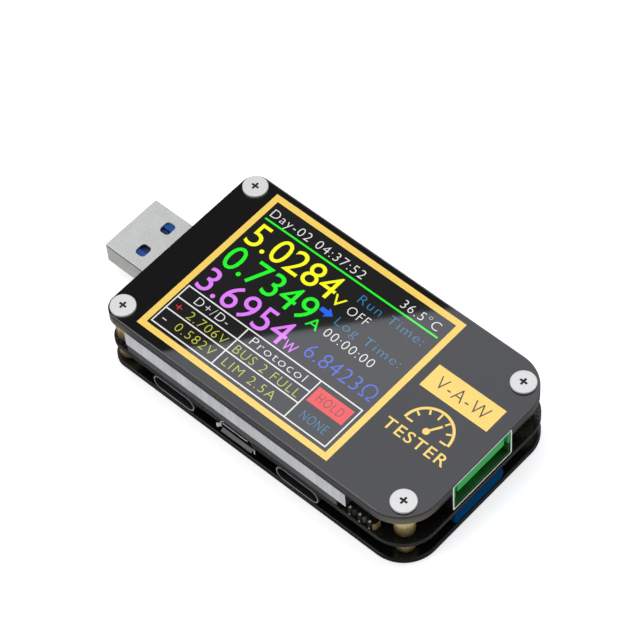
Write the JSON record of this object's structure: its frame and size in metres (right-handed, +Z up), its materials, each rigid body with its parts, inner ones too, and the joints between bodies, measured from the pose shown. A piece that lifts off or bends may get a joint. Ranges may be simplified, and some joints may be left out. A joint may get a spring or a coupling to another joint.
{
  "type": "usb power meter",
  "caption": "In-line power meter: display under a glossy plate on brass posts, plug at one end, socket at the other, ports along one edge and push keys along the other.",
  "frame": {"origin": "on the lower plate's underside, midway between the plug's tip and the socket's mouth, on the plates' centre line", "axes": "+X from the plug to the socket, +Y towards the keys, +Z up through the display"},
  "size_m": [0.0764, 0.0371, 0.0139],
  "materials": {
    "cover": "gloss black print under clear acrylic",
    "base_plate": "satin black",
    "board": "black solder mask",
    "brass": "turned",
    "screw_steel": "satin nickel",
    "lcd_frame": "light grey",
    "light_guide": "clear white",
    "panel_glass": "dark glass",
    "flex": "amber film",
    "ivory_plastic": "moulded",
    "spacer": "moulded",
    "plug_steel": "satin nickel",
    "blue_plastic": "moulded",
    "gold": "gold plate",
    "socket_steel": "bright nickel",
    "green_plastic": "moulded",
    "port_steel": "nickel",
    "black_plastic": "moulded",
    "chip": "moulded epoxy",
    "ferrite": "pressed powder",
    "ceramic": "fired ceramic",
    "key": "moulded"
  },
  "bodies": {
    "case": {"top_plate": "cover", "bottom_plate": "base_plate", "main_board": "board", "upper_standoffs": "brass", "lower_standoffs": "brass", "top_screws": "screw_steel", "bottom_screws": "screw_steel", "lcd_frame": "lcd_frame", "lcd_backlight": "light_guide", "lcd_panel": "panel_glass", "lcd_flex": "flex", "flex_connector": "ivory_plastic", "spacer_strips": "spacer", "plug_shell": "plug_steel", "plug_insulator": "blue_plastic", "plug_contacts": "gold", "socket_shell": "socket_steel", "socket_insulator": "green_plastic", "socket_contacts": "gold", "edge_block": "blue_plastic", "left_c_shell": "port_steel", "left_c_tongue": "black_plastic", "micro_shell": "port_steel", "micro_tongue": "black_plastic", "right_c_shell": "port_steel", "right_c_tongue": "black_plastic", "header_housing": "black_plastic", "header_pins": "gold", "controller_chip": "chip", "converter_chip": "chip", "crystal": "port_steel", "inductor": "ferrite", "capacitors": "ceramic", "shunt_resistor": "chip", "key_bodies": "port_steel", "switch_body": "port_steel"},
    "key_up": {"key_cap_up": "key"},
    "key_ok": {"key_cap_ok": "key"},
    "key_down": {"key_cap_down": "key"},
    "switch_knob": {"switch_slider": "key"}
  },
  "joints": [
    {"name": "key_up_press", "type": "slide", "parent": "case", "child": "key_up", "axis": [0, -1, 0], "range_m": [0, 0.00025], "stiffness_N_per_m": 2000, "springref_m": -0.0001},
    {"name": "key_ok_press", "type": "slide", "parent": "case", "child": "key_ok", "axis": [0, -1, 0], "range_m": [0, 0.00025], "stiffness_N_per_m": 2000, "springref_m": -0.0001},
    {"name": "key_down_press", "type": "slide", "parent": "case", "child": "key_down", "axis": [0, -1, 0], "range_m": [0, 0.00025], "stiffness_N_per_m": 2000, "springref_m": -0.0001},
    {"name": "switch_slide", "type": "slide", "parent": "case", "child": "switch_knob", "axis": [1, 0, 0], "range_m": [0, 0.002]}
  ]
}
